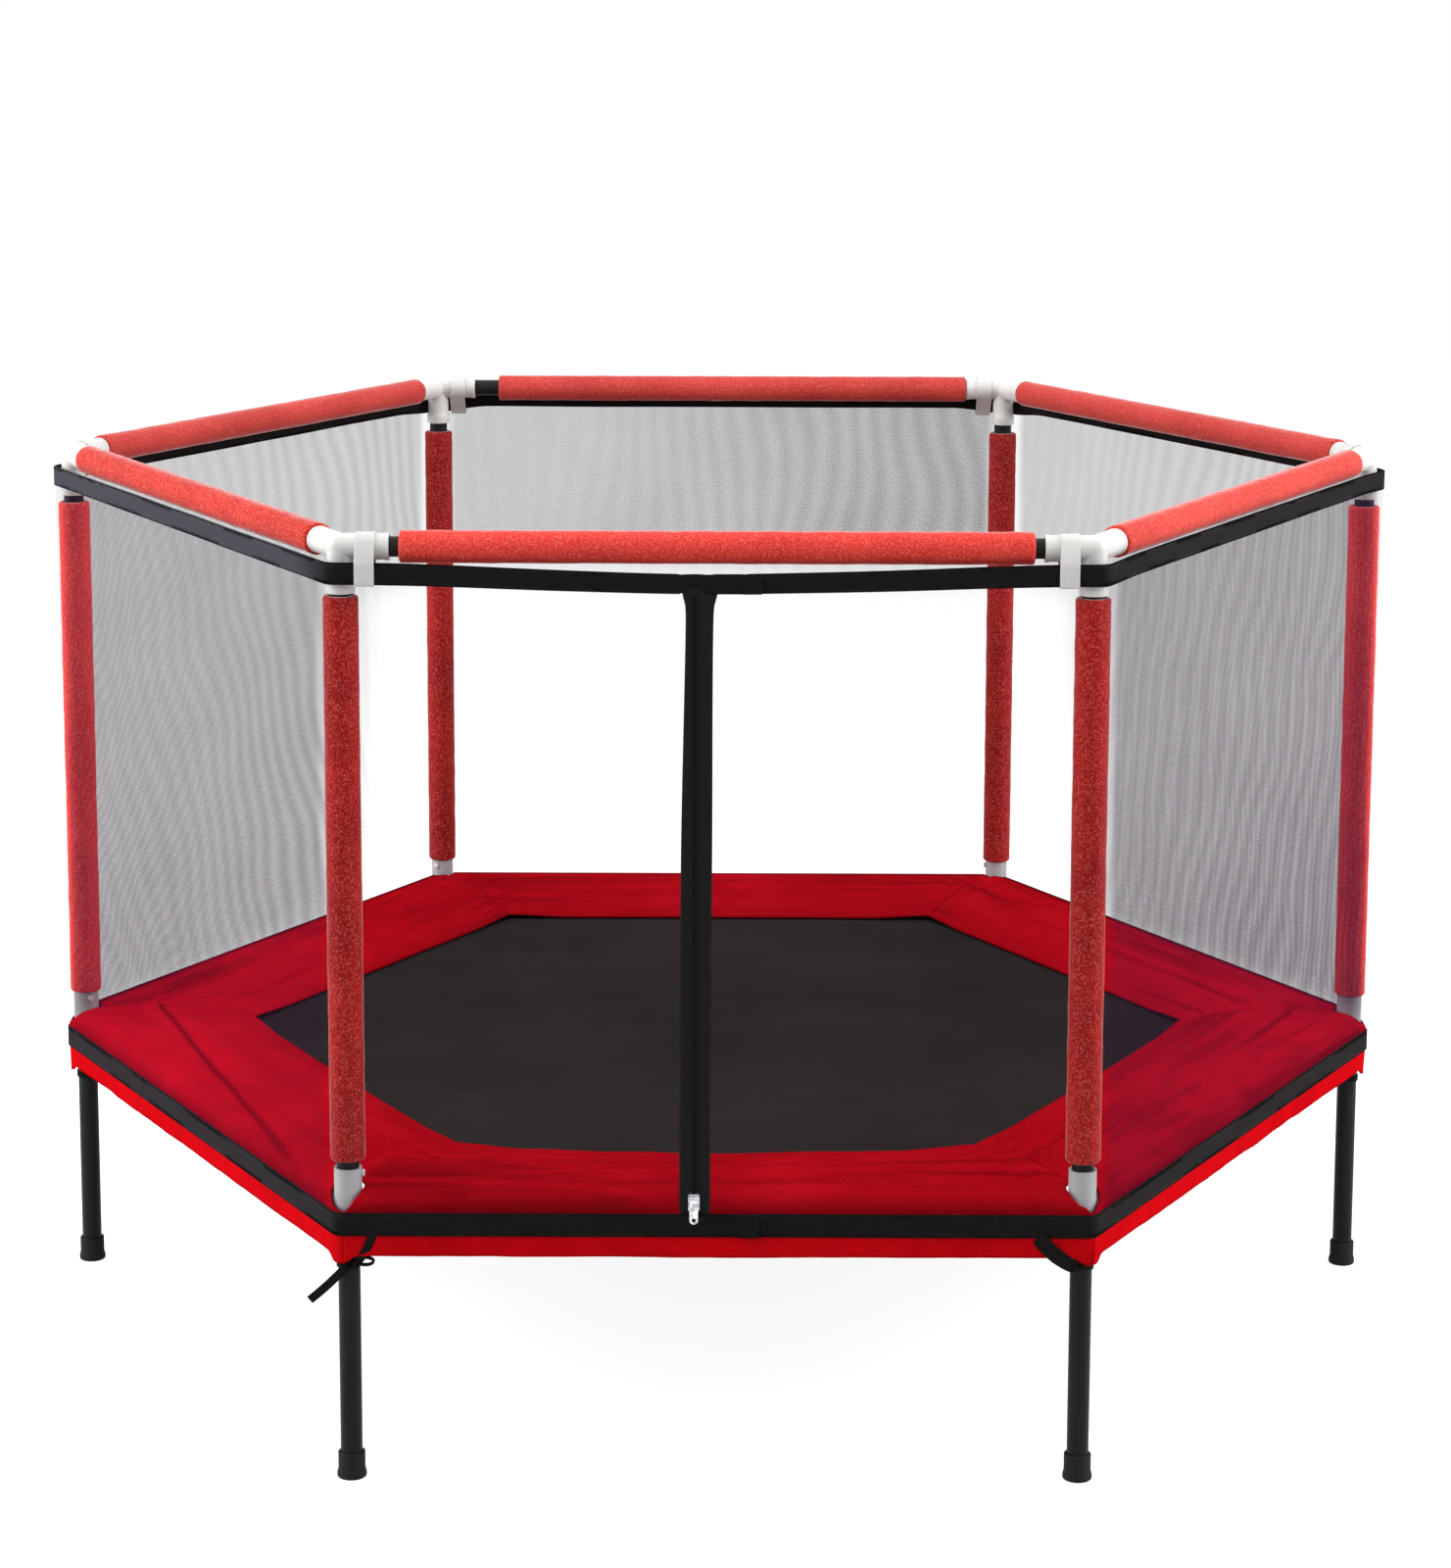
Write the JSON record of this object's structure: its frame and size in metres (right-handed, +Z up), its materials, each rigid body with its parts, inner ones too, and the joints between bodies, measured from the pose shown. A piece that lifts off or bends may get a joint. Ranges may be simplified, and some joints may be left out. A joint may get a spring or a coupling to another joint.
{
  "type": "enclosed trampoline",
  "caption": "Low hexagonal trampoline on straight legs with a padded red spring cover, foam-sleeved posts and top rails, and a fine net enclosure with a zipped door.",
  "frame": {"origin": "on the floor under the centre of the six legs", "axes": "+X to the right along the line through the left and right posts, -Y towards the zipped front side, +Z up"},
  "size_m": [1.5704, 1.3713, 1.004],
  "materials": {
    "black_steel": "satin black powder coat",
    "grey_plastic": "matt light grey",
    "white_plastic": "semi-gloss white",
    "black_rubber": "matt",
    "post_foam": "soft closed-cell foam, dull red",
    "rail_foam": "soft closed-cell foam, bright red",
    "net_mesh": "fine translucent grey mesh",
    "black_webbing": "woven black tape",
    "white_webbing": "woven white tape",
    "red_cover": "coated red cloth, soft sheen",
    "mat_weave": "tight black weave",
    "spring_steel": "zinc plated",
    "zip_metal": "bright nickel",
    "zip_black": "black moulded zip coil"
  },
  "bodies": {
    "frame": {"base_connector_front_left": "grey_plastic", "base_connector_front_right": "grey_plastic", "base_connector_right": "grey_plastic", "base_connector_back_right": "grey_plastic", "base_connector_back_left": "grey_plastic", "base_connector_left": "grey_plastic", "leg_front_left": "black_steel", "leg_front_right": "black_steel", "leg_right": "black_steel", "leg_back_right": "black_steel", "leg_back_left": "black_steel", "leg_left": "black_steel", "post_front_left": "black_steel", "post_front_right": "black_steel", "post_right": "black_steel", "post_back_right": "black_steel", "post_back_left": "black_steel", "post_left": "black_steel", "top_elbow_front_left": "white_plastic", "top_elbow_front_right": "white_plastic", "top_elbow_right": "white_plastic", "top_elbow_back_right": "white_plastic", "top_elbow_back_left": "white_plastic", "top_elbow_left": "white_plastic", "base_rail_front": "black_steel", "base_rail_front_right": "black_steel", "base_rail_back_right": "black_steel", "base_rail_back": "black_steel", "base_rail_back_left": "black_steel", "base_rail_front_left": "black_steel", "net_front_left_of_zip": "net_mesh", "net_front_right_of_zip": "net_mesh", "net_front_right": "net_mesh", "net_back_right": "net_mesh", "net_back": "net_mesh", "net_back_left": "net_mesh", "net_front_left": "net_mesh", "top_rails": "black_steel", "foot_caps": "black_rubber", "post_foam_sleeves": "post_foam", "rail_foam_sleeves": "rail_foam", "top_hem": "black_webbing", "bottom_band": "black_webbing", "hem_straps": "white_webbing", "cover": "red_cover", "springs": "spring_steel", "zip_tape": "black_webbing", "zip_coil": "zip_black", "leg_ties": "black_webbing", "leg_tie_tail": "black_webbing", "leg_screws": "zip_metal", "post_screws": "white_plastic"},
    "mat": {"mat": "mat_weave", "mat_rings": "spring_steel"},
    "slider": {"zip_slider": "zip_metal"},
    "pull": {"zip_pull": "zip_metal"}
  },
  "joints": [
    {"name": "mat_bounce", "type": "slide", "parent": "frame", "child": "mat", "axis": [0, 0, 1], "range_m": [-0.12, 0], "stiffness_N_per_m": 6000, "deforming": ["springs"]},
    {"name": "zip_slide", "type": "slide", "parent": "frame", "child": "slider", "axis": [0, 0, 1], "range_m": [0, 0.632]},
    {"name": "zip_pull_turn", "type": "hinge", "parent": "slider", "child": "pull", "pos_m": [-0.022, -0.68778, 0.314], "axis": [-1, 0, 0], "range_deg": [0, 165]}
  ]
}
